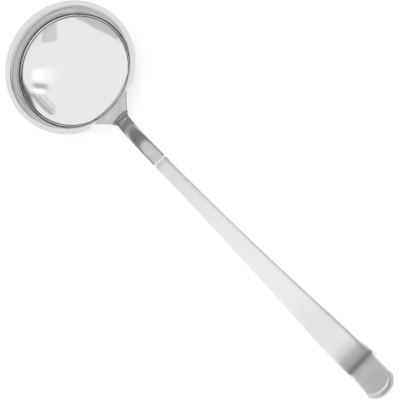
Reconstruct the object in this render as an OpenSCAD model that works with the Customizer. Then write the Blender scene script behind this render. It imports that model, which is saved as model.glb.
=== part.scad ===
// Soup ladle: a drawn steel bowl, a forged neck whose fan root is let into the rim,
// and a hollow satin handle of two welded half shells that ends in an upturned hook.
// It is drawn about the bowl, with the rim level, and then laid down as it rests on a table.

/* [Bowl] */
// Diameter over the rim
rim_d = 90; // [80:1:100]
// Wall of the drawn sheet
sheet_t = 1.2; // [1:0.1:1.6]
// Width of the flared lip, seen from above
lip_w = 4; // [3:0.1:5]
// Slope of the lip's flat, in degrees
lip_slope = 12; // [8:1:20]
// Radius of the bend from the collar to the lip, on the inner face
lip_bend = 1.7; // [1.7:0.1:2.4]
// Height of the straight collar under the lip
collar_h = 8; // [6:0.5:12]
// Lean of the collar from upright, in degrees
collar_lean = 17; // [12:1:24]
// Radius of the knuckle between the collar and the floor
knuckle_r = 3; // [2.5:0.5:6]
// Slope of the floor where it meets the knuckle, in degrees
floor_slope = 32; // [24:1:40]

/* [Neck] */
// Width of the neck between its root and the handle
neck_w = 9.8; // [8:0.1:11]
// Thickness of the neck at the handle
neck_t = 4; // [3:0.1:5]
// Thickness of the fan root at the rim
root_t = 2.4; // [2:0.1:3]
// Width of the fan root at the rim
root_w = 34; // [26:1:40]
// Length over which the fan root narrows to the neck
root_len = 22; // [16:1:26]
// How fast the fan root narrows, as a power of what is left of its length
root_flare = 3.5; // [2:0.1:4]
// Drop from the rim to the middle of the fan root's edge
root_drop = 2.2; // [1.8:0.05:2.6]
// Slope of the fan where it lies in the lip, in degrees
root_slope = 12; // [6:1:20]
// Length of the fan's flat
flat_len = 7.5; // [4:0.5:9]
// Length of the fillet from the flat to the rise
fillet_len = 4.5; // [4:0.5:8]
// Slope of the rise behind the fan, in degrees
rise_slope = 50; // [38:1:54]
// Length of the straight rise
rise_len = 6; // [4:0.5:12]
// Length of the bend from the rise to the handle's slope
bend_len = 37.5; // [30:0.5:55]
// Straight stretch in front of the handle
lead_len = 10.5; // [4:0.5:14]
// Length of the tang inside the handle
tang_len = 28; // [16:1:40]

/* [Handle] */
// Slope of the handle where it leaves the neck, in degrees
handle_slope = 10; // [4:1:16]
// Length of the arched grip
grip_len = 162.5; // [130:0.5:200]
// How far the grip's slope falls along its arch, in degrees
grip_arch = 5; // [2:1:10]
// How late the grip widens, as a power of the way along it
grip_flare = 1.7; // [1:0.1:2.4]
// How square the grip's section is, as the power of its rounded oblong
grip_power = 3.2; // [2.6:0.1:4]
// Width at the neck end
front_w = 10.1; // [9.5:0.1:14]
// Width where the grip is widest, before the hook
back_w = 18.9; // [15:0.1:24]
// Width of the hook's tab
tab_w = 20.2; // [14:0.1:22]
// Thickness at the neck end
front_t = 5.4; // [5:0.1:7]
// Thickness at the widest place
back_t = 6.6; // [5.6:0.1:8]
// Wall of the half shells
shell_t = 0.8; // [0.6:0.1:1.1]
// How far the shells draw in at the rounded shoulder behind the neck
shoulder_in = 0.45; // [0.3:0.05:0.6]
// Length of the rounded shoulder
shoulder_len = 1.5; // [1:0.1:2.5]

/* [Hook] */
// Length of the round bend down
dip_len = 21; // [16:1:30]
// How far the dip turns down, in degrees
dip_turn = 62; // [45:1:70]
// Length of the tight bend up
notch_len = 6; // [5:0.5:10]
// Slope of the upturned tab, in degrees
tab_slope = 38; // [20:1:50]
// Length of the tab up to the tip
tab_len = 30; // [24:1:36]
// Radius of the rounding over the tip
tip_round = 1.2; // [0.8:0.1:2]
// How square the tab's section is
tab_power = 6; // [3:0.5:8]

/* [Fits] */
// Clearance of the fan root in its seat in the lip
root_gap = 0.15; // [0.1:0.05:0.4]
// Clearance of the tang in the shells
tang_gap = 0.15; // [0.05:0.05:0.3]
// Weld seam between the neck and the bowl, and between the neck and the handle
seam_gap = 0.05; // [0.02:0.01:0.2]

/* [Hidden] */
$fn = 96;

// Bowl profile, from the rim down: every radius and height follows from the rim
rim_r = rim_d / 2;
lip_flat_w = lip_w - lip_bend * (cos(collar_lean) - sin(lip_slope));
lip_h = lip_bend * (cos(lip_slope) - sin(collar_lean)) + lip_flat_w * tan(lip_slope);
mouth_r = rim_r - lip_w;
mouth_z = -lip_h;
lip_c = [mouth_r, mouth_z] + lip_bend * [cos(collar_lean), -sin(collar_lean)];
collar_foot_r = mouth_r - collar_h * tan(collar_lean);
collar_foot_z = mouth_z - collar_h;
knuckle_c = [collar_foot_r - knuckle_r * cos(collar_lean),
             collar_foot_z + knuckle_r * sin(collar_lean)];
floor_edge = knuckle_c + knuckle_r * [sin(floor_slope), -cos(floor_slope)];
floor_r = floor_edge[0] / sin(floor_slope);
floor_c = floor_edge[1] + floor_r * cos(floor_slope);

// Seat of the fan root in the lip
seat_r = mouth_r + sheet_t / 2;
seat_depth = root_drop + root_t / 2 + 1.5;
seat_reach = lip_w + 2;

// Centre line of the neck and handle, as [length, turn] of each stretch
STRETCHES = [
  [flat_len, 0],
  [fillet_len, rise_slope - root_slope],
  [rise_len, 0],
  [bend_len, handle_slope - rise_slope],
  [lead_len, 0],
  [grip_len, -grip_arch],
  [dip_len, -dip_turn],
  [notch_len, tab_slope - handle_slope + grip_arch + dip_turn],
  [tab_len, 0]
];
root_start = [seat_r + seam_gap, -root_drop, root_slope];
joint_s = flat_len + fillet_len + rise_len + bend_len + lead_len;
dip_s = joint_s + grip_len;
notch_s = dip_s + dip_len;
tab_s = notch_s + notch_len;
tip_s = tab_s + tab_len;

// The point and slope after a stretch of one length and turn, from p = [x, z, slope]
function advance(p, len, turn) =
  abs(turn) < 0.001
    ? [p[0] + len * cos(p[2]), p[1] + len * sin(p[2]), p[2]]
    : let (r = len / (turn * PI / 180))
      [p[0] + r * (sin(p[2] + turn) - sin(p[2])),
       p[1] - r * (cos(p[2] + turn) - cos(p[2])),
       p[2] + turn];

// The point and slope at arc length s along the stretches
function along(s, i = 0, p = root_start) =
  let (len = STRETCHES[i][0], turn = STRETCHES[i][1])
  s <= len || i == len(STRETCHES) - 1
    ? advance(p, s, turn * s / len)
    : along(s - len, i + 1, advance(p, len, turn));

// A smooth step from 0 to 1
function ease(f) = let (c = min(1, max(0, f))) c * c * (3 - 2 * c);
function mix(a, b, f) = a + (b - a) * f;

// Half width and half thickness of the handle at arc length s
tip_r = tab_w / 2;
function handle_body_w(s) =
  s < dip_s
    ? mix(front_w, back_w, pow((s - joint_s) / grip_len, grip_flare)) / 2
    : mix(back_w, tab_w, ease((s - dip_s) / (tip_s - tip_r - dip_s))) / 2;
function tip_factor(s, r) = s <= tip_s - r ? 1 : sqrt(max(0, 1 - pow((s - tip_s + r) / r, 2)));
function shoulder(s) =
  let (left = min(1, max(0, 1 - (s - joint_s) / shoulder_len)))
  shoulder_in * (1 - sqrt(1 - left * left));
function handle_w(s) = (handle_body_w(s) - shoulder(s)) * max(0.03, tip_factor(s, tip_r));
function handle_t(s) =
  (mix(front_t, back_t, ease((s - joint_s) / (grip_len * 0.6))) / 2 - shoulder(s))
  * max(0.6, tip_factor(s, tip_round));

// Half width and half thickness of the neck at arc length s
function neck_half_w(s) = neck_w / 2 + (root_w - neck_w) / 2 * pow(max(0, 1 - s / root_len), root_flare);
function neck_half_t(s) = mix(root_t, neck_t, ease(s / (joint_s * 0.6))) / 2;

// A section point: a rounded oblong of half width w and half height h, at angle a
function oblong(a, w, h, power) =
  let (c = cos(a), s = sin(a), e = 2 / power)
  [w * sign(c) * pow(abs(c), e), h * sign(s) * pow(abs(s), e)];

// A section point carried to its place on the centre line
function placed(q, p) = [p[0] - q[1] * sin(p[2]), q[0], p[1] + q[1] * cos(p[2])];

// A closed solid through rings of points, all rings of one count. Each end is closed
// by a ladder of triangles between the points j and n - 1 - j.
module loft(rings) {
  n = len(rings[0]);
  last = len(rings) - 1;
  ladder = [for (j = [0 : floor(n / 2) - 1]) let (k = n - 1 - j) if (k - j > 1) each [
    [j, j + 1, k],
    if (k - j > 2) [j + 1, k - 1, k]
  ]];
  polyhedron(
    points = [for (ring = rings) each ring],
    faces = concat(
      ladder,
      [for (i = [0 : last - 1], j = [0 : n - 1]) let (k = (j + 1) % n) each [
        [i * n + j, (i + 1) * n + j, (i + 1) * n + k],
        [i * n + j, (i + 1) * n + k, i * n + k]
      ]],
      [for (f = ladder) [for (q = [2, 1, 0]) last * n + f[q]]]
    )
  );
}

// Arc lengths of the handle's rings: close together in the bends and at the tip
function spaced(a, b, n) = [for (i = [0 : n - 1]) a + (b - a) * i / n];
tip_rings = 9;
HANDLE_RINGS = concat(
  [for (i = [0 : 2]) joint_s + shoulder_len * (1 - cos(90 * i / 3))],
  spaced(joint_s + shoulder_len, dip_s, 13),
  spaced(dip_s, notch_s, 9),
  spaced(notch_s, tab_s, 8),
  spaced(tab_s, tip_s - tip_r, 3),
  [for (i = [0 : tip_rings - 1]) tip_s - tip_r * (1 - sin(90 * i / tip_rings))],
  [tip_s - 0.01]
);

half_steps = 14;
function handle_power(s) = mix(grip_power, tab_power, ease((s - dip_s) / (tab_s - dip_s)));

// One half of the handle as a solid, inset by g; side is 1 above and -1 below.
// The inset solid runs a hair past the parting face and out of the front end.
module handle_half(side, g) {
  low = g > 0 ? -0.02 : 0;
  stations = [for (s = HANDLE_RINGS) if (g == 0 || s < tip_s - g - 0.5) s];
  rings = [for (s = stations)
    let (
      p = along(g > 0 && s == joint_s ? s - 0.5 : s),
      w = handle_w(s) - g,
      h = handle_t(s) - g
    )
    [for (j = [0 : half_steps])
      let (q = oblong(180 * j / half_steps, w, h, handle_power(s)))
      placed([side * q[0], side * (j == 0 || j == half_steps ? low : q[1])], p)]
  ];
  loft(rings);
}

module handle_shell(side) {
  difference() {
    handle_half(side, 0);
    handle_half(side, shell_t);
  }
}

// Points along an arc about c, from one angle to another
function arc_points(c, r, from, to, n) =
  [for (i = [0 : n]) let (a = from + (to - from) * i / n) c + r * [cos(a), sin(a)]];

// One face of the sheet from the axis to the lip's edge, g outside the inner face
function bowl_face(g) = concat(
  arc_points([0, floor_c], floor_r + g, -90, floor_slope - 90, 14),
  arc_points(knuckle_c, knuckle_r + g, floor_slope - 90, -collar_lean, 7),
  arc_points(lip_c, lip_bend - g, 180 - collar_lean, 90 + lip_slope, 7),
  [[rim_r, 0] + g * [sin(lip_slope), -cos(lip_slope)]]
);

module bowl_profile() {
  inner = bowl_face(0);
  outer = bowl_face(sheet_t);
  polygon(concat(inner, [for (i = [len(outer) - 1 : -1 : 0]) outer[i]]));
}

// Edge of the fan root, seen from above, at arc length s
function root_edge(s) =
  let (w = neck_half_w(s), back = seat_r - sqrt(seat_r * seat_r - w * w))
  [along(s)[0] - back * pow(1 - s / root_len, 1.5), w + root_gap];

// Space in the lip that the fan root fills: the fan's own plan outside the bowl's mouth
module root_seat() {
  edge = [for (i = [0 : 6]) root_edge(seat_reach * i / 6)];
  mirrored = [for (i = [len(edge) - 1 : -1 : 0]) [edge[i][0], -edge[i][1]]];
  translate([0, 0, -seat_depth]) linear_extrude(height = seat_depth + 5) difference() {
    polygon(concat([[0, 0]], edge, mirrored));
    circle(r = seat_r);
  }
}

module bowl() {
  color("gainsboro") difference() {
    rotate_extrude() bowl_profile();
    root_seat();
  }
}

neck_rings = 26;
tang_rings = 6;
tang_w = front_w / 2 - shoulder_in - shell_t - tang_gap;
tang_t = front_t / 2 - shoulder_in - shell_t - tang_gap;
neck_power = 2.6;
neck_steps = 28;
shoulder_s = joint_s - seam_gap;

// One ring of the neck at arc length s, with half width w and half height h.
// Near the rim the ring bows back, so that the root's front edge follows the bowl's mouth.
function neck_ring(s, w, h, power) =
  let (p = along(s), follow = pow(max(0, 1 - s / root_len), 1.5))
  [for (j = [0 : neck_steps - 1])
    let (
      q = oblong(360 * (j + 0.5) / neck_steps, w, h, power),
      back = seat_r - sqrt(seat_r * seat_r - q[0] * q[0])
    )
    placed(q, p) - [back * follow, 0, 0]];

// Neck with its fan root, a square shoulder at the handle, and its tang
module neck() {
  outer = [for (i = [0 : neck_rings])
    let (s = shoulder_s * pow(i / neck_rings, 1.25))
    neck_ring(s, neck_half_w(s), neck_half_t(s), neck_power)];
  tang = [for (i = [0 : tang_rings])
    neck_ring(shoulder_s + tang_len * i / tang_rings, tang_w, tang_t, grip_power)];
  color("silver") loft(concat(outer, tang));
}

// Rest on a table: the tangent from the bowl's floor to the outside of the dip
notch_low = along(notch_s + notch_len * 0.73);
foot_r = back_t / 2;
bowl_r = floor_r + sheet_t;
run = notch_low[0];
fall = notch_low[1] - floor_c;
rest_angle = atan2(fall, run) + asin((bowl_r - foot_r) / norm([run, fall]));
floor_height = bowl_r - floor_c * cos(rest_angle);
tip_point = along(tip_s);
back_x = -rim_r * cos(rest_angle);
front_x = tip_point[0] * cos(rest_angle) + tip_point[1] * sin(rest_angle);
middle_x = (back_x + front_x) / 2;

// Puts the level ladle down on the table, its middle over the origin
module laid() {
  translate([-middle_x, 0, floor_height]) rotate([0, rest_angle, 0]) children();
}

laid() bowl();
laid() neck();
laid() color("lightgray") handle_shell(1);  // handle_top_shell
laid() color("darkgray") handle_shell(-1);  // handle_back_shell
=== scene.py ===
# %% [markdown]
# # A soup ladle in polished and satin steel
#
# The ladle is four welded pieces: a drawn bowl with a flared lip, a forged neck that spreads
# into a fan at the rim, and two half shells that close round the neck's tang and make a
# hollow handle with an upturned hook. Each piece here is a surface worked out from a few
# sizes, so that its curves stay exact however closely the camera looks.

import bpy
import numpy as np
from mathutils import Matrix


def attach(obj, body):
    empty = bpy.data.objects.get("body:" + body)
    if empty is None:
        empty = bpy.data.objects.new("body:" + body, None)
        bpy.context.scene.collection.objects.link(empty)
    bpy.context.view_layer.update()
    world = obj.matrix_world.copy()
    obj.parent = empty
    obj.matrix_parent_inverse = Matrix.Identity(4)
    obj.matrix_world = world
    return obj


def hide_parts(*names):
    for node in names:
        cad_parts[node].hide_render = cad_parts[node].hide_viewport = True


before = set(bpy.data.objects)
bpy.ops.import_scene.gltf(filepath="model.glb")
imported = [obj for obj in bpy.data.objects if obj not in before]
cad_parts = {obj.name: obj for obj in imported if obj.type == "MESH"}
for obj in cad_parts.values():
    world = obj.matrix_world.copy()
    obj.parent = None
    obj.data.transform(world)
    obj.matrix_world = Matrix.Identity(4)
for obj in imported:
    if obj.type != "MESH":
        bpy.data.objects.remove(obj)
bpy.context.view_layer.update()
scene = bpy.context.scene
MM = 0.001
print("nodes:", sorted(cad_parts))

# %% [markdown]
# ## Sizes
#
# The sizes are those of the construction drawing, in millimetres and degrees. The bowl is
# drawn level about its own axis, the centre line of neck and handle is a chain of stretches
# that each turn evenly, and the whole ladle is then laid down on the table.

# %% Driving sizes
RIM_R, SHEET_T, LIP_W, LIP_SLOPE, LIP_BEND = 45.0, 1.2, 4.0, 12.0, 1.7
COLLAR_H, COLLAR_LEAN = 8.0, 17.0
KNUCKLE_R, FLOOR_SLOPE = 3.0, 32.0
NECK_W, NECK_T = 9.8, 4.0
ROOT_T, ROOT_W, ROOT_LEN, ROOT_FLARE = 2.4, 34.0, 22.0, 3.5
FRONT_W, BACK_W, TAB_W, FRONT_T, BACK_T, GRIP_FLARE = 10.1, 18.9, 20.2, 5.4, 6.6, 1.7
SHOULDER_IN, SHOULDER_LEN = 0.45, 1.5
SEAM = 0.05
ROOT_DROP, ROOT_SLOPE, RISE_SLOPE = 2.2, 12.0, 50.0
FLAT_LEN, FILLET_LEN, RISE_LEN, BEND_LEN, LEAD_LEN = 7.5, 4.5, 6.0, 37.5, 10.5
GRIP_LEN = 162.5
DIP_LEN, NOTCH_LEN, TAB_LEN = 21.0, 6.0, 30.0
LOW_SHARE = 0.73  # how far along the notch the hook's lowest point lies
GRIP_POWER, TAB_POWER = 3.2, 6.0
HANDLE_SLOPE, GRIP_ARCH, DIP_TURN, TAB_SLOPE = 10.0, 5.0, 62.0, 38.0

# %% The centre line of the neck and the handle
NECK_STRETCHES = [FLAT_LEN, FILLET_LEN, RISE_LEN, BEND_LEN, LEAD_LEN]
LENGTHS = np.array(NECK_STRETCHES + [GRIP_LEN, DIP_LEN, NOTCH_LEN, TAB_LEN])
TURNS = np.radians(
    [
        0,
        RISE_SLOPE - ROOT_SLOPE,
        0,
        HANDLE_SLOPE - RISE_SLOPE,
        0,
        -GRIP_ARCH,
        -DIP_TURN,
        TAB_SLOPE - HANDLE_SLOPE + GRIP_ARCH + DIP_TURN,
        0,
    ]
)
STARTS = np.concatenate([[0], np.cumsum(LENGTHS)[:-1]])
SLOPES = np.radians(ROOT_SLOPE) + np.concatenate([[0], np.cumsum(TURNS)[:-1]])
CHORDS = LENGTHS * np.sinc(TURNS / 2 / np.pi)
MOUTH_R = RIM_R - LIP_W
SEAT_R = MOUTH_R + SHEET_T / 2
MEANS = SLOPES + TURNS / 2
KNOT_X = SEAT_R + SEAM + np.concatenate([[0], np.cumsum(CHORDS * np.cos(MEANS))[:-1]])
KNOT_Z = -ROOT_DROP + np.concatenate([[0], np.cumsum(CHORDS * np.sin(MEANS))[:-1]])
JOINT_S, DIP_S, NOTCH_S, TAB_S = STARTS[5:]
TIP_S = TAB_S + TAB_LEN


def centre_line(s):
    """Place and slope at arc length s. A stretch that turns evenly is an arc, so its chord
    is its length times sinc of half the turn, and points along the mean slope."""
    s = np.asarray(s, dtype=float)
    i = np.clip(np.searchsorted(STARTS, s, side="right") - 1, 0, len(STARTS) - 1)
    run = s - STARTS[i]
    turn = TURNS[i] * run / LENGTHS[i]
    mean = SLOPES[i] + turn / 2
    chord = run * np.sinc(turn / 2 / np.pi)
    return KNOT_X[i] + chord * np.cos(mean), KNOT_Z[i] + chord * np.sin(mean), SLOPES[i] + turn


joint_x, tip_x = (float(centre_line(s)[0]) for s in (JOINT_S, TIP_S))
print("handle from x", round(joint_x, 2), "to", round(tip_x, 2), "mm, before the tilt")

# %% [markdown]
# ## Lying on the table
#
# The ladle rests on its bowl and on the outside of the hook's dip, so the tilt is the slope
# of the line that touches both circles from below.

# %% Rest angle, and the move from the level ladle to the table
lean, flare = np.radians(COLLAR_LEAN), np.radians(LIP_SLOPE)
flat_w = LIP_W - LIP_BEND * (np.cos(lean) - np.sin(flare))
mouth_z = -LIP_BEND * (np.cos(flare) - np.sin(lean)) - flat_w * np.tan(flare)
lip_c = np.array([MOUTH_R, mouth_z]) + LIP_BEND * np.array([np.cos(lean), -np.sin(lean)])
collar_foot = np.array([MOUTH_R - COLLAR_H * np.tan(lean), mouth_z - COLLAR_H])
knuckle_c = collar_foot + KNUCKLE_R * np.array([-np.cos(lean), np.sin(lean)])
edge_a = np.radians(FLOOR_SLOPE)
floor_edge = knuckle_c + KNUCKLE_R * np.array([np.sin(edge_a), -np.cos(edge_a)])
FLOOR_R = floor_edge[0] / np.sin(edge_a)
floor_c = floor_edge[1] + FLOOR_R * np.cos(edge_a)

low_x, low_z, _ = centre_line(NOTCH_S + NOTCH_LEN * LOW_SHARE)
reach, drop = float(low_x), float(low_z) - floor_c
bowl_r, foot_r = FLOOR_R + SHEET_T, BACK_T / 2
REST = np.arctan2(drop, reach) + np.arcsin((bowl_r - foot_r) / np.hypot(reach, drop))
tip_x, tip_z, _ = centre_line(TIP_S)
back_x = -RIM_R * np.cos(REST)
front_x = tip_x * np.cos(REST) + tip_z * np.sin(REST)
SHIFT = np.array([-(back_x + front_x) / 2, 0, bowl_r - floor_c * np.cos(REST)])
TURN = np.array([[np.cos(REST), 0, np.sin(REST)], [0, 1, 0], [-np.sin(REST), 0, np.cos(REST)]])


def lay(points):
    """Level ladle in millimetres to the table's frame in metres: turned by the rest angle
    about the Y axis, then moved by the shift."""
    return (points @ TURN.T + SHIFT) * MM


print("rest angle", np.degrees(REST).round(3), "shift", SHIFT.round(3))

# %% [markdown]
# ## From a grid of points to a mesh
#
# All the surfaces are grids: one parameter runs along the piece and one round it. The grid
# closes on itself one way, and its two ends are closed by a fan about a middle point.

# %% A closed tube-like mesh from a grid
def closed_grid(name, rings, maps=None):
    """rings is (along, round, 3) in metres, the last axis round closing on the first. Quads
    join ring to ring, and a fan of triangles about the mean point closes either end. maps
    holds a grid of (along, round, 2) for each UV map."""
    along, around = rings.shape[:2]
    index = np.arange(along * around).reshape(along, around)
    right = np.roll(index, -1, axis=1)
    quads = np.stack([index[:-1], right[:-1], right[1:], index[1:]], axis=-1).reshape(-1, 4)
    poles = rings[[0, -1]].mean(axis=1)
    first, last = along * around, along * around + 1
    cap_a = np.stack([right[0], index[0], np.full(around, first)], axis=-1)
    cap_b = np.stack([index[-1], right[-1], np.full(around, last)], axis=-1)
    points = np.concatenate([rings.reshape(-1, 3), poles])
    mesh = bpy.data.meshes.new(name)
    mesh.from_pydata(points.tolist(), [], quads.tolist() + cap_a.tolist() + cap_b.tolist())
    mesh.validate()
    mesh.shade_smooth()
    corners = np.empty(len(mesh.loops), dtype=int)
    mesh.loops.foreach_get("vertex_index", corners)
    for map_name, uv in (maps or {}).items():
        flat = np.concatenate([uv.reshape(-1, 2), uv[[0, -1]].mean(axis=1)])
        layer = mesh.uv_layers.new(name=map_name)
        layer.data.foreach_set("uv", flat[corners].ravel())
    piece = bpy.data.objects.new(name, mesh)
    scene.collection.objects.link(piece)
    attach(piece, "root")
    print(name, "has", len(mesh.polygons), "faces")
    return piece


# %% [markdown]
# ## The bowl
#
# The bowl is drawn from one sheet. Its inner face, from the middle out, is a shallow dish, a
# tight knuckle, a straight leaning collar and a lip that flares to a rounded edge. The outer
# face follows it one sheet thickness away. At the neck the lip's flat is ground back to make
# the fan's seat, so its width depends on the direction round the bowl.

# %% Inner and outer face of the sheet as one closed profile, turned about the axis
def smooth_step(a, b, x):
    """0 below a, 1 above b, and the cubic 3f^2 - 2f^3 between."""
    f = np.clip((x - a) / (b - a), 0, 1)
    return f * f * (3 - 2 * f)


def arc(centre, radius, angles):
    """Points about a centre, by angle from the outward axis; all may be arrays."""
    return np.stack(
        [centre[0] + radius * np.cos(angles), centre[1] + radius * np.sin(angles)], axis=-1
    )


def oblong(angles, half_w, half_t, power):
    """Superellipse: cosine and sine raised to 2/power, their signs kept, times the halves."""
    c, s = np.cos(angles), np.sin(angles)
    across = half_w * np.sign(c) * np.abs(c) ** (2 / power)
    up = half_t * np.sign(s) * np.abs(s) ** (2 / power)
    return across, up


EDGE_ROUND, EDGE_POWER = 0.18, 3.0
SEAT_EDGE = np.radians([21, 29])
POLE_GAP = 0.4
FLOOR_ROWS, KNUCKLE_ROWS, BEND_ROWS, FLAT_ROWS, EDGE_ROWS = 44, 22, 18, 7, 13


def lip_run(turn):
    """How far the lip's flat runs past the bend, by direction round the bowl: all of it away
    from the neck, and none of it in the fan's seat."""
    clear = smooth_step(*SEAT_EDGE, np.abs(turn))
    return (flat_w / np.cos(flare) - EDGE_ROUND) * clear


def bowl_points(around=288):
    """Profile (radius, height) times direction. The profile runs up the inner face, round
    the lip's edge and down the outer face; each stretch is an arc about its own centre, and
    the lip's flat is a straight run on from its bend. The sheet map holds the distance from
    the axis in metres, and 0 on the inner face, a half on the edge and 1 on the outer."""
    turn = np.linspace(-np.pi, np.pi, around, endpoint=False)[None, :]
    floor_a = np.radians(np.linspace(POLE_GAP - 90, FLOOR_SLOPE - 90, FLOOR_ROWS))[:, None]
    knuckle_a = np.radians(np.linspace(FLOOR_SLOPE - 90, -COLLAR_LEAN, KNUCKLE_ROWS))[:, None]
    bend_a = np.radians(np.linspace(180 - COLLAR_LEAN, 90 + LIP_SLOPE, BEND_ROWS))[:, None]
    share = np.linspace(0, 1, FLAT_ROWS + 1)[1:, None]
    bead = np.radians(np.linspace(0, 180, EDGE_ROWS + 2)[1:-1])[:, None]
    outward = np.array([-np.sin(flare), np.cos(flare)])
    onward = np.array([np.cos(flare), np.sin(flare)])

    def face(gap):
        """One face of the sheet, a gap outside the inner one."""
        floor_points = arc((0, floor_c), FLOOR_R + gap, floor_a + 0 * turn)
        knuckle_points = arc(knuckle_c, KNUCKLE_R + gap, knuckle_a + 0 * turn)
        bend_points = arc(lip_c, LIP_BEND - gap, bend_a + 0 * turn)
        flat_points = bend_points[-1:] + (share * lip_run(turn))[..., None] * onward
        return np.concatenate([floor_points, knuckle_points, bend_points, flat_points])

    inner, outer = face(0), face(SHEET_T)
    up, out = oblong(bead, SHEET_T / 2, EDGE_ROUND, EDGE_POWER)
    middle = (inner[-1:] + outer[-1:]) / 2 + 0 * bead[..., None]
    edge = middle + up[..., None] * outward + out[..., None] * onward
    profile = np.concatenate([inner, edge, outer[::-1]])
    radius, height = profile[..., 0], profile[..., 1]
    face_number = np.repeat([0.0, 0.5, 1.0], [len(inner), len(edge), len(outer)])[:, None]
    points = np.stack([radius * np.cos(turn), radius * np.sin(turn), height], axis=-1)
    return points, {"sheet": np.stack([radius * MM, face_number + 0 * radius], axis=-1)}


bowl_grid, bowl_maps = bowl_points()
bowl = closed_grid("ladle_bowl", lay(bowl_grid), bowl_maps)
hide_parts("bowl")

# %% [markdown]
# ## The neck
#
# The neck is forged from bar: a fan at the rim that narrows to a stout stem, rises steeply
# and bends over to meet the handle. Its section is a rounded oblong, which a superellipse
# gives with one number for how square it is.

# %% Sections along a centre line
NECK_POWER, ROOT_CROWD, BOW_POWER = 2.1, 1.25, 1.5
STOUT_SHARE = 0.6  # share of a length over which the thickness reaches its full value


def placed(s, across, up):
    """A section point carried to arc length s: across stays Y, up is square to the slope."""
    x, z, slope = centre_line(s)
    return np.stack([x - up * np.sin(slope), across + 0 * x, z + up * np.cos(slope)], axis=-1)


def neck_points(along=120, around=96):
    """The half width falls from the fan's to the stem's as a power of what is left of the
    fan, and near the rim a section bows back to follow the bowl's mouth."""
    s = np.linspace(0, 1, along)[:, None] ** ROOT_CROWD * (JOINT_S - SEAM)
    left = np.maximum(0, 1 - s / ROOT_LEN)
    half_w = NECK_W / 2 + (ROOT_W - NECK_W) / 2 * left**ROOT_FLARE
    half_t = (ROOT_T + (NECK_T - ROOT_T) * smooth_step(0, JOINT_S * STOUT_SHARE, s)) / 2
    angles = np.linspace(0, 2 * np.pi, around, endpoint=False)[None, :]
    across, up = oblong(angles, half_w, half_t, NECK_POWER)
    points = placed(s + 0 * angles, across, up)
    points[..., 0] -= (SEAT_R - np.sqrt(SEAT_R**2 - across**2)) * left**BOW_POWER
    return points


neck = closed_grid("ladle_neck", lay(neck_points()))
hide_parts("neck")

# %% [markdown]
# ## The handle
#
# Two pressed half shells meet along a weld at mid thickness. Together they make a hollow
# bar that widens to the hook. The halves are made apart, as they are on the real ladle, and
# the end towards the neck and the tip are rounded over.

# %% The two half shells
TIP_R, TIP_DRAFT, TIP_LEAST, TIP_GAP = TAB_W / 2, 0.18, 0.03, 0.002
FRONT_POWER, FRONT_LEN = 2.3, 60.0
BACK_WALL = 0.16
SHOULDER_ROWS, GRIP_ROWS, DIP_ROWS, NOTCH_ROWS, TAB_ROWS, TIP_ROWS = 10, 120, 44, 30, 24, 60


def bull_nose(s, end, radius):
    """1 until one radius before the end, then a quarter circle down to 0."""
    return np.sqrt(np.clip(1 - (np.maximum(0, s - end + radius) / radius) ** 2, 0, 1))


def handle_halves(s):
    """Half width and half thickness. The width grows as a power of the way along the grip
    and eases into the tab, whose end is a half circle; both ends are rounded over."""
    grip = np.clip((s - JOINT_S) / GRIP_LEN, 0, 1)
    widening = FRONT_W + (BACK_W - FRONT_W) * grip**GRIP_FLARE
    width = widening + (TAB_W - BACK_W) * smooth_step(DIP_S, TIP_S - TIP_R, s)
    thick = FRONT_T + (BACK_T - FRONT_T) * smooth_step(0, GRIP_LEN * STOUT_SHARE, s - JOINT_S)
    shoulder = SHOULDER_IN * (1 - bull_nose(2 * JOINT_S - s, JOINT_S, SHOULDER_LEN))
    half_w = (width / 2 - shoulder) * np.maximum(TIP_LEAST, bull_nose(s, TIP_S, TIP_R))
    half_t = thick / 2 - shoulder
    return half_w, half_t


def handle_stations():
    """Arc lengths of the sections: close together at the shoulder, the bends and the tip."""
    quarter = np.linspace(0, np.pi / 2, SHOULDER_ROWS, endpoint=False)
    tip = TIP_S - TIP_R * (1 - np.sin(np.linspace(0, np.pi / 2, TIP_ROWS)))
    return np.concatenate(
        [
            JOINT_S + SHOULDER_LEN * (1 - np.cos(quarter)),
            np.linspace(JOINT_S + SHOULDER_LEN, DIP_S, GRIP_ROWS, endpoint=False),
            np.linspace(DIP_S, NOTCH_S, DIP_ROWS, endpoint=False),
            np.linspace(NOTCH_S, TAB_S, NOTCH_ROWS, endpoint=False),
            np.linspace(TAB_S, TIP_S - TIP_R, TAB_ROWS, endpoint=False),
            tip[:-1],
            [TIP_S - TIP_GAP],
        ]
    )


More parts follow.
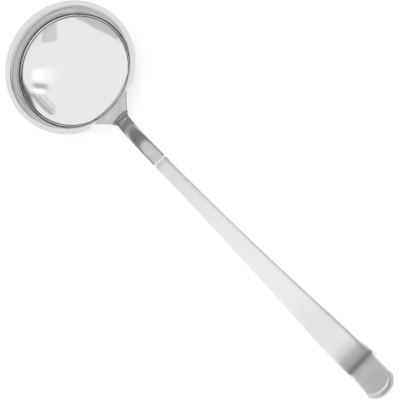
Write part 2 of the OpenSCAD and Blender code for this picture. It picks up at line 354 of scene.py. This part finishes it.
def shell_points(side, arc_steps=44, flat_steps=12):
    """A half section, closed along the weld line: half a superellipse and then its chord.
    Past the middle of the round end the height falls with the distance from that middle,
    and the wall leans in by the draft of the press tool. side is 1 for the top shell and -1
    for the back shell. The along map holds the place along and across in metres. The wall
    map holds how far down a point lies from the face to the weld, and how far out along the
    round end, which counts for less on the back shell."""
    s = handle_stations()[:, None]
    half_w, half_t = handle_halves(s)
    angles = np.linspace(0, np.pi, arc_steps)[None, :]
    power = FRONT_POWER + (GRIP_POWER - FRONT_POWER) * smooth_step(0, FRONT_LEN, s - JOINT_S)
    power = power + (TAB_POWER - GRIP_POWER) * smooth_step(DIP_S, TAB_S, s)
    across, up = oblong(angles, half_w, half_t, power)
    beyond = np.maximum(0, s - TIP_S + TIP_R)
    past = beyond / TIP_R
    reach = np.clip(np.hypot(beyond, across) / TIP_R, 0, 1)
    up = np.where(beyond > 0, half_t * (1 - reach**power) ** (1 / power), up)
    lean = TIP_DRAFT * up * smooth_step(0, TIP_R / 2, beyond) / np.maximum(0.01, reach * TIP_R)
    s = np.concatenate([s - lean * beyond, s + np.zeros((1, flat_steps))], axis=1)
    across = across * (1 - lean)
    chord = np.linspace(-1, 1, flat_steps + 2)[None, 1:-1]
    across = np.concatenate([across, half_w * chord], axis=1)
    up = np.concatenate([up, 0 * half_t * chord], axis=1)
    points = placed(s, side * across, side * up)
    along = np.stack([s * MM, across * MM], axis=-1)
    # How far out along the round end, for the painted shade on the end's wall; less on the back
    # shell.
    tip_shade_share = past * (1.0 if side > 0 else BACK_WALL) + 0 * up
    return points, {"along": along, "wall": np.stack([1 - up / half_t, tip_shade_share], axis=-1)}


shells = {}
for shell_name, shell_side in (("handle_top_shell", 1), ("handle_back_shell", -1)):
    shell_grid, shell_maps = shell_points(shell_side)
    shell = closed_grid("ladle_" + shell_name, lay(shell_grid), shell_maps)
    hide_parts(shell_name)
    shells[shell_name] = shell

# %% [markdown]
# ## Writing shader maths as expressions
#
# Node trees are easier to read as sums and products. A small class wraps a socket, and its
# operators add the Math nodes.

# %% A socket that takes part in Python expressions
class Value:
    """A node's output in one node tree; + - * / on values add Math nodes."""

    def __init__(self, tree, socket):
        self.tree, self.socket = tree, socket

    def math(self, operation, *others):
        """One Math node on values or numbers, in their order."""
        made = self.tree.nodes.new("ShaderNodeMath")
        made.operation = operation
        for slot_number, other in enumerate(others):
            join(self.tree, other, made.inputs[slot_number])
        return Value(self.tree, made.outputs[0])

    def __add__(self, other):
        return self.math("ADD", self, other)

    def __radd__(self, other):
        return self.math("ADD", other, self)

    def __sub__(self, other):
        return self.math("SUBTRACT", self, other)

    def __rsub__(self, other):
        return self.math("SUBTRACT", other, self)

    def __mul__(self, other):
        return self.math("MULTIPLY", self, other)

    def __rmul__(self, other):
        return self.math("MULTIPLY", other, self)

    def __truediv__(self, other):
        return self.math("DIVIDE", self, other)

    def size(self):
        """The value without its sign."""
        return self.math("ABSOLUTE", self)

    def step(self, a, b):
        """0 below a and 1 above b, with a smooth change between."""
        made = add_node(
            self.tree,
            "ShaderNodeMapRange",
            {"interpolation_type": "SMOOTHSTEP"},
            Value=self,
            From_Min=a,
            From_Max=b,
        )
        return made["Result"]


def join(tree, source, target):
    """Links a value to a socket, or sets the socket to a number or a colour."""
    if isinstance(source, Value):
        tree.links.new(source.socket, target)
    else:
        target.default_value = source


class Outputs:
    """The outputs of a node, by name, each as a Value."""

    def __init__(self, tree, made):
        self.tree, self.made = tree, made

    def __getitem__(self, name):
        return Value(self.tree, [o for o in self.made.outputs if o.name == name and o.enabled][0])


def add_node(tree, kind, settings=None, **inputs):
    """A node with its settings and inputs; an input's name has _ for each space."""
    made = tree.nodes.new(kind)
    for key, setting in (settings or {}).items():
        setattr(made, key, setting)
    for key, source in inputs.items():
        slots = [i for i in made.inputs if i.name == key.replace("_", " ") and i.enabled]
        join(tree, source, slots[0])
    return Outputs(tree, made)


def grey(level, blue=0.0):
    """A neutral colour, with a touch more blue where it is asked for."""
    return (level, level, level + blue, 1)


def blend(tree, share, under, over):
    """A colour that changes from under to over with the share; each is a link or a colour."""
    made = add_node(tree, "ShaderNodeMix", {"data_type": "RGBA"}, Factor=share, A=under, B=over)
    return made["Result"]


def noise(tree, place, scale, detail):
    """Soft random patches, about 1/scale metres across."""
    made = add_node(tree, "ShaderNodeTexNoise", Vector=place, Scale=scale, Detail=detail)
    return made["Fac"]


def uv_parts(tree, uv_map):
    """The two numbers of one of the piece's own maps, as X and Y."""
    uv = add_node(tree, "ShaderNodeUVMap", {"uv_map": uv_map})["UV"]
    return add_node(tree, "ShaderNodeSeparateXYZ", Vector=uv)


def new_shader(name):
    """An empty material with one metal shader, which is returned with its tree."""
    material = bpy.data.materials.new(name)
    material.use_nodes = True
    tree = material.node_tree
    tree.nodes.clear()
    shader = add_node(tree, "ShaderNodeBsdfPrincipled", Metallic=1.0)
    out = tree.nodes.new("ShaderNodeOutputMaterial")
    tree.links.new(shader["BSDF"].socket, out.inputs["Surface"])
    return material, tree, shader.made


def assign(material, *pieces):
    """Gives pieces their one material."""
    for piece in pieces:
        piece.data.materials.clear()
        piece.data.materials.append(material)
    print(material.name, "on", [piece.name for piece in pieces])


# %% [markdown]
# ## Polished steel
#
# The bowl is buffed to a mirror. A real mirror finish is never perfect: faint cloudiness
# from handling and the wheel's marks change the roughness a little. The flared lip is set a
# shade greyer. A thin dark ring is painted into the corner where the floor meets the collar:
# painted shade for the dark reflection seen there. The outer face is set greyer than the
# inside. All three are set by the bowl's own map: distance from the axis, and the face.

# %% Mirror polish
LIP_IN, CORNER_IN, CORNER_OUT = (0.0412, 0.0420), (0.0378, 0.0382), (0.0384, 0.0387)
EDGE_IN, OUTER_IN = (0.2, 0.4), (0.6, 0.8)
OUTER_GREY = grey(0.60, 0.005)
# The darkest grey is painted shade: the dark ring where the floor meets the collar.
BUFFED, CLOUDED, LIP_GREY, CORNER_PAINTED_SHADE = grey(0.83), grey(0.80, 0.005), grey(0.73), grey(0.13)


def polished_steel():
    material, tree, shader = new_shader("polished_steel")
    place = add_node(tree, "ShaderNodeTexCoord")["Object"]
    cloud = noise(tree, place, 60.0, 3.0)
    wheel = noise(tree, place, 900.0, 2.0)
    join(tree, 0.03 + cloud * 0.05 + wheel * 0.02, shader.inputs["Roughness"])
    sheet = uv_parts(tree, "sheet")
    corner_shade = sheet["X"].step(*CORNER_IN) * (1 - sheet["X"].step(*CORNER_OUT))
    inside = 1 - sheet["Y"].step(*EDGE_IN)
    tint = blend(tree, cloud, CLOUDED, BUFFED)
    tint = blend(tree, sheet["X"].step(*LIP_IN), tint, LIP_GREY)
    # Painted shade: the dark ring in the corner of floor and collar.
    tint = blend(tree, corner_shade * inside, tint, CORNER_PAINTED_SHADE)
    tint = blend(tree, sheet["Y"].step(*OUTER_IN), tint, OUTER_GREY)
    join(tree, tint, shader.inputs["Base Color"])
    return material


assign(polished_steel(), bowl)

# %% [markdown]
# ## Forged steel
#
# The neck is forged and only tumbled bright, so it is greyer than the buffed bowl and its
# reflections are soft. The tumbling leaves broad, shallow unevenness. The zone where the fan
# meets the stem is painted darker: painted shade for the dark reflection there.

# %% Tumbled forging
# The zone where the fan meets the stem is painted shade.
FAN_SHADE_IN, FAN_SHADE_OUT = (-0.0775, -0.0752), (-0.0725, -0.062)
HOLLOW_GREY, RAISED_GREY, FAN_SHADE_GREY = grey(0.42, 0.005), grey(0.75), grey(0.24)


def forged_steel():
    material, tree, shader = new_shader("forged_steel")
    place = add_node(tree, "ShaderNodeTexCoord")["Object"]
    broad = noise(tree, place, 110.0, 2.0)
    fine = noise(tree, place, 1400.0, 2.0)
    join(tree, 0.16 + broad * 0.08 + fine * 0.04, shader.inputs["Roughness"])
    length = add_node(tree, "ShaderNodeSeparateXYZ", Vector=place)["X"]
    # Painted shade where the fan meets the stem.
    fan_shade = length.step(*FAN_SHADE_IN) * (1 - length.step(*FAN_SHADE_OUT))
    tint = blend(tree, broad, HOLLOW_GREY, RAISED_GREY)
    join(tree, blend(tree, fan_shade, tint, FAN_SHADE_GREY), shader.inputs["Base Color"])
    bump = add_node(tree, "ShaderNodeBump", Height=broad, Strength=0.25, Distance=0.0006)
    join(tree, bump["Normal"], shader.inputs["Normal"])
    return material


assign(forged_steel(), neck)

# %% [markdown]
# ## Satin steel
#
# The handle is brushed along its length with a fine belt. The grain is far longer than it
# is wide, so its noise is stretched along the piece's own length, which the along map gives.
# The middle of the grip is painted lighter, a painted sheen. The bend of the hook and the wall
# of the round end are painted darker, as painted shade. The tab is painted lighter and the
# shoulder's rounded front edge white, both painted highlights. A narrow band behind the
# shoulder is painted darker, as painted shade.

# %% Satin brushed along the handle
# Painted sheen: the middle of the grip is made lighter.
SHEEN_IN, SHEEN_OUT = (0.075, 0.135), (0.185, 0.225)
# Painted shade: the bend of the hook is made darker.
DIP_SHADE_IN, DIP_SHADE_OUT = (0.2390, 0.2495), (0.2538, 0.2576)
# Painted highlight: the tab is made lighter.
TAB_IN = (0.2572, 0.2592)
# Painted highlight: the shoulder's rounded front edge is made white.
SHOULDER_OUT = (0.0676, 0.0680)
# Painted shade: a narrow band behind the shoulder is made darker.
JOINT_SHADE_IN, JOINT_SHADE_OUT = (0.0676, 0.0682), (0.0692, 0.073)
# Painted shade on the wall of the round end.
WALL_IN, ROUND_IN = (0.10, 0.30), (0.05, 0.30)
BRUSHED, PAINTED_SHEEN, DIP_SHADE_GREY, TAB_PAINTED_LIGHT = grey(0.80), grey(0.88), grey(0.34), grey(0.93)
JOINT_SHADE_GREY, SHOULDER_HIGHLIGHT, TIP_WALL_SHADE = grey(0.68), grey(1.0), grey(0.56)


def stretched(tree, uv, scale, detail):
    """Noise drawn out along the handle: scale is its fineness along and across."""
    place = add_node(tree, "ShaderNodeMapping", Vector=uv, Scale=(*scale, 1))["Vector"]
    return noise(tree, place, 1.0, detail)


def satin_steel():
    material, tree, shader = new_shader("satin_steel")
    along = add_node(tree, "ShaderNodeUVMap", {"uv_map": "along"})["UV"]
    grain = stretched(tree, along, (60, 6000), 3.0)
    band = stretched(tree, along, (12, 500), 2.0)
    join(tree, 0.33 + grain * 0.08 + band * 0.05, shader.inputs["Roughness"])
    bump = add_node(tree, "ShaderNodeBump", Height=grain, Strength=0.06, Distance=0.0001)
    join(tree, bump["Normal"], shader.inputs["Normal"])
    length = uv_parts(tree, "along")["X"]
    wall = uv_parts(tree, "wall")
    tint = BRUSHED
    for share, colour in (
        # Painted sheen on the middle of the grip.
        (length.step(*SHEEN_IN) * (1 - length.step(*SHEEN_OUT)), PAINTED_SHEEN),
        # Painted shade in the bend of the hook.
        (length.step(*DIP_SHADE_IN) * (1 - length.step(*DIP_SHADE_OUT)), DIP_SHADE_GREY),
        # Painted highlight on the tab.
        (length.step(*TAB_IN), TAB_PAINTED_LIGHT),
        # Painted shade in a band behind the shoulder.
        (length.step(*JOINT_SHADE_IN) * (1 - length.step(*JOINT_SHADE_OUT)), JOINT_SHADE_GREY),
        # Painted highlight on the shoulder's rounded front edge.
        (1 - length.step(*SHOULDER_OUT), SHOULDER_HIGHLIGHT),
        # Painted shade on the wall of the round end.
        (wall["X"].step(*WALL_IN) * wall["Y"].step(*ROUND_IN), TIP_WALL_SHADE),
    ):
        tint = blend(tree, share, tint, colour)
    join(tree, tint, shader.inputs["Base Color"])
    return material


assign(satin_steel(), *shells.values())

# %% [markdown]
# ## The studio
#
# Steel shows little but its surroundings. The ladle lies on a pale table inside a light
# tent: bright overhead, darker low down, with an open edge behind. The floor glows faintly,
# as a lit table top of the same white does.

# %% Pale floor
FLOOR_HALF, FLOOR_GLOW, FLOOR_ROUGH = 3.0, 0.46, 0.9


def pale_floor():
    """One large square at table height."""
    half = FLOOR_HALF
    mesh = bpy.data.meshes.new("floor")
    mesh.from_pydata(
        [(-half, -half, 0), (half, -half, 0), (half, half, 0), (-half, half, 0)],
        [],
        [(0, 1, 2, 3)],
    )
    ground = bpy.data.objects.new("floor", mesh)
    scene.collection.objects.link(ground)
    material, _, shader = new_shader("pale_floor")
    shader.inputs["Metallic"].default_value = 0.0
    shader.inputs["Roughness"].default_value = FLOOR_ROUGH
    shader.inputs["Base Color"].default_value = grey(0.9)
    shader.inputs["Emission Color"].default_value = grey(1)
    shader.inputs["Emission Strength"].default_value = FLOOR_GLOW
    mesh.materials.append(material)
    print("floor", 2 * half, "m wide, glow", FLOOR_GLOW)


pale_floor()

# %% [markdown]
# ## The light tent
#
# The tent is drawn on the sky, because steel mirrors the whole of it. Each direction is
# written as the place where it meets a level ceiling one metre up: how far ahead, towards
# the hook, and how far aside. The tent's edges, the lamps over it and the dark flags that
# hang in it are then plain rectangles with soft edges.

# %% Lamps and flags on the ceiling
# Place, turn in degrees, half length, half width, softness, and the light added or taken.
LAMPS = [
    ((0.40, 0.61), 53, 0.10, 0.11, 0.03, 0.22),
    ((0.30, 0.49), 53, 0.20, 0.15, 0.09, 0.20),
    ((0.07, 0.82), 60, 0.15, 0.06, 0.03, 0.34),
]
FLAGS = [
    ((0.15, 0.71), 54, 0.18, 0.065, 0.035, 0.62),
    ((-0.32, 1.04), 180, 0.42, 0.075, 0.03, 0.65),
    ((-0.32, 0.90), 180, 0.32, 0.045, 0.025, 0.50),
    ((-0.30, 0.78), 180, 0.24, 0.035, 0.03, 0.30),
    ((1.07, -0.40), -45, 0.42, 0.20, 0.02, 0.36),
    ((0.30, 1.15), 0, 0.26, 0.05, 0.02, 0.72),
]
END_SOFTNESS = 2.5


def patch(ahead, aside, at, turn, long, wide, soft):
    """1 inside a turned rectangle on the ceiling: a soft step at each end and each side."""
    cosine, sine = np.cos(np.radians(turn)), np.sin(np.radians(turn))
    along = (ahead - at[0]) * cosine + (aside - at[1]) * sine
    across = (aside - at[1]) * cosine - (ahead - at[0]) * sine
    end_soft = END_SOFTNESS * soft
    ends = 1 - along.size().step(long - end_soft, long + end_soft)
    return ends * (1 - across.size().step(wide - soft, wide + soft))


print(len(LAMPS), "lamps and", len(FLAGS), "flags")

# %% The dome
LEAST_RISE = 0.04
BACK_EDGE = (-0.9, -0.88)
FRONT_NEAR, FRONT_FAR = ((0.8, 1.7), 0.38), ((1.5, 3.0), 0.34)
SIDE_EDGE, SIDE_TAPER, NEAR_SIDE_LOSS, MIDDLE = (1.1, 1.25), 0.45, 0.45, (-0.01, 0.01)
HORIZON_UP, HORIZON_AHEAD, HORIZON_LIGHT = (0.0, 0.35), (0.0, 0.3), 0.8
DARK_INSIDE, DARK_OUTSIDE = 0.28, 0.12
BACKDROP = 1.1


def white_dome():
    """Brightness by direction: the tent, less its flags, over a dark room, with a light
    horizon behind the bowl and the lamps on top. The far side of the tent is open, the near
    side half open. The camera itself sees an even white backdrop."""
    world = bpy.data.worlds.new("dome")
    scene.world = world
    world.use_nodes = True
    tree = world.node_tree
    tree.nodes.clear()
    place = add_node(tree, "ShaderNodeTexCoord")["Generated"]
    parts = add_node(tree, "ShaderNodeSeparateXYZ", Vector=place)
    rise = parts["Z"].math("MAXIMUM", parts["Z"], LEAST_RISE)
    ahead, aside = parts["X"] / rise, parts["Y"] / rise
    before = 1
    for fall, loss in (FRONT_NEAR, FRONT_FAR):
        before = before - loss * ahead.step(*fall)
    spread = aside.size() + SIDE_TAPER * ahead.math("MINIMUM", ahead, 0)
    side_loss = NEAR_SIDE_LOSS + (1 - NEAR_SIDE_LOSS) * aside.step(*MIDDLE)
    sides = 1 - side_loss * spread.step(*SIDE_EDGE)
    tent = ahead.step(*BACK_EDGE) * before * sides
    for at, turn, long, wide, soft, less in FLAGS:
        tent = tent * (1 - less * patch(ahead, aside, at, turn, long, wide, soft))
    low, behind = 1 - parts["Z"].step(*HORIZON_UP), 1 - parts["X"].step(*HORIZON_AHEAD)
    dark = DARK_INSIDE * sides + DARK_OUTSIDE * (1 - sides)
    light = dark + (1 - dark) * tent + HORIZON_LIGHT * low * behind
    for at, turn, long, wide, soft, more in LAMPS:
        light = light + more * patch(ahead, aside, at, turn, long, wide, soft)
    to_camera = add_node(tree, "ShaderNodeLightPath")["Is Camera Ray"]
    strength = light + (BACKDROP - light) * to_camera
    back = add_node(tree, "ShaderNodeBackground", Color=grey(1), Strength=strength)
    out = tree.nodes.new("ShaderNodeOutputWorld")
    tree.links.new(back["Background"].socket, out.inputs["Surface"])
    print("dome of", len(tree.nodes), "nodes")


white_dome()

# %% [markdown]
# ## Panels for single pieces
#
# A photographer hides small white panels where only one part of the steel sees them. Here an
# area light does that: light linking keeps it out of every piece but those it is meant for.

# %% Four panels
UPRIGHT = np.pi / 2
OVERHEAD, BACK_NEAR, BACK_FAR, BACK_HALF = 8.0, -0.89, -2.4, 1.9
LOW_AWAY, LOW_SIZE = 6.0, (24.0, 3.4)
SIDE_AWAY, SIDE_SIZE = 3.0, (9.0, 3.2)


def panel(name, size, place, turn, bright, pieces):
    """A rectangular area light that shows in some pieces alone. Its power is pi times its
    area times the brightness that those pieces mirror."""
    data = bpy.data.lights.new(name, "AREA")
    data.shape = "RECTANGLE"
    data.size, data.size_y = size
    data.energy = np.pi * size[0] * size[1] * bright
    lamp = bpy.data.objects.new(name, data)
    scene.collection.objects.link(lamp)
    lamp.location, lamp.rotation_euler = place, turn
    lamp.visible_camera = False
    only = bpy.data.collections.new("lit_by_" + name)
    for piece in pieces:
        only.objects.link(piece)
    lamp.light_linking.receiver_collection = only
    print(name, "at", [round(float(v), 2) for v in place], "for", [p.name for p in pieces])


# A level panel carries the tent on behind the bowl, as wide and long as it is high.
level_size = (OVERHEAD * (BACK_NEAR - BACK_FAR), OVERHEAD * 2 * BACK_HALF)
level_x = lay(np.zeros((1, 3)))[0][0] + OVERHEAD * (BACK_NEAR + BACK_FAR) / 2
panel("bowl_panel", level_size, (level_x, 0, OVERHEAD), (0, 0, 0), 0.72, [bowl])
# One stands far off past the hook's end, low over the table, for the rim's bend.
low_place = (LOW_AWAY, 0, LOW_SIZE[1] / 2)
panel("low_panel", LOW_SIZE, low_place, (UPRIGHT, 0, UPRIGHT), 0.5, [bowl])
# One stands on either side of the handle, for its soft light edges.
for panel_name, side, bright in (("near_handle_panel", -1, 0.3), ("far_handle_panel", 1, 0.1)):
    side_place = (0, side * SIDE_AWAY, SIDE_SIZE[1] / 2)
    panel(panel_name, SIDE_SIZE, side_place, (-side * UPRIGHT, 0, 0), bright, shells.values())

# %% [markdown]
# ## The camera
#
# The photograph looks down on the ladle from the handle's side, from far enough away that
# the perspective is gentle. The camera is placed about the level ladle and laid down with it.

# %% Camera at the photograph's viewing angle
RIGHT = np.array([0.6789, 0.6915, -0.2468])
DOWN = np.array([0.6778, -0.7195, -0.1514])
FORWARD = np.array([-0.2823, -0.0645, -0.9572])
CAMERA_AT = np.array([454.7, 73.3, 1108.1])
FOCAL, SENSOR, NEAR_CLIP, FAR_CLIP = 1815.4 / 400, 36.0, 0.05, 20.0


def photo_camera():
    """Axes of the view turned with the ladle, then made exactly square to each other."""
    forward = TURN @ FORWARD
    forward /= np.linalg.norm(forward)
    right = TURN @ RIGHT
    right -= forward * (right @ forward)
    right /= np.linalg.norm(right)
    down = np.cross(forward, right)
    data = bpy.data.cameras.new("camera")
    data.sensor_width = SENSOR
    data.lens = SENSOR * FOCAL
    data.clip_start, data.clip_end = NEAR_CLIP, FAR_CLIP
    camera = bpy.data.objects.new("camera", data)
    scene.collection.objects.link(camera)
    at = lay(CAMERA_AT[None])[0]
    rows = np.vstack([np.column_stack([right, -down, -forward, at]), [0, 0, 0, 1]])
    camera.matrix_world = Matrix(rows.tolist())
    scene.camera = camera
    print("lens", round(data.lens, 1), "mm, camera at", at.round(3))


photo_camera()
scene.view_settings.view_transform = "Standard"
